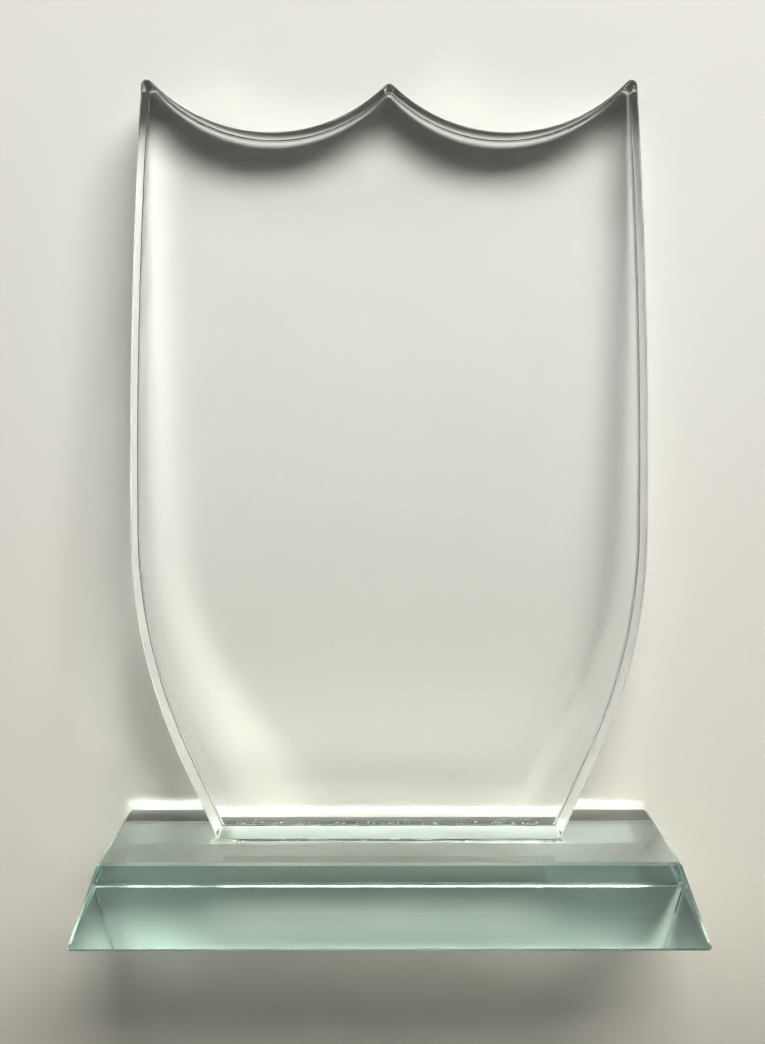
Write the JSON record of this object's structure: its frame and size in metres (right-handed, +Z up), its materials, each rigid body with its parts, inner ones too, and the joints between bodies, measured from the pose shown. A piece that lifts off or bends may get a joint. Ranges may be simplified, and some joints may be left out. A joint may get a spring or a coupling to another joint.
{
  "type": "glass shield award",
  "caption": "Clear glass award: a thick shield with a scalloped, pointed top bonded upright on a low bevelled glass base, with a blank display face.",
  "frame": {"origin": "middle of the base block's underside, where the award stands", "axes": "+Z up along the shield, +X to the right across the shield as seen from the display side, -Y out of the display face"},
  "size_m": [0.1446, 0.0532, 0.1958],
  "materials": {
    "base_glass": "polished",
    "plate_glass": "polished",
    "clear_adhesive": "glossy, cured clear"
  },
  "bodies": {
    "root": {"base_block": "base_glass", "shield_plate": "plate_glass", "adhesive_joint": "clear_adhesive"}
  },
  "joints": []
}
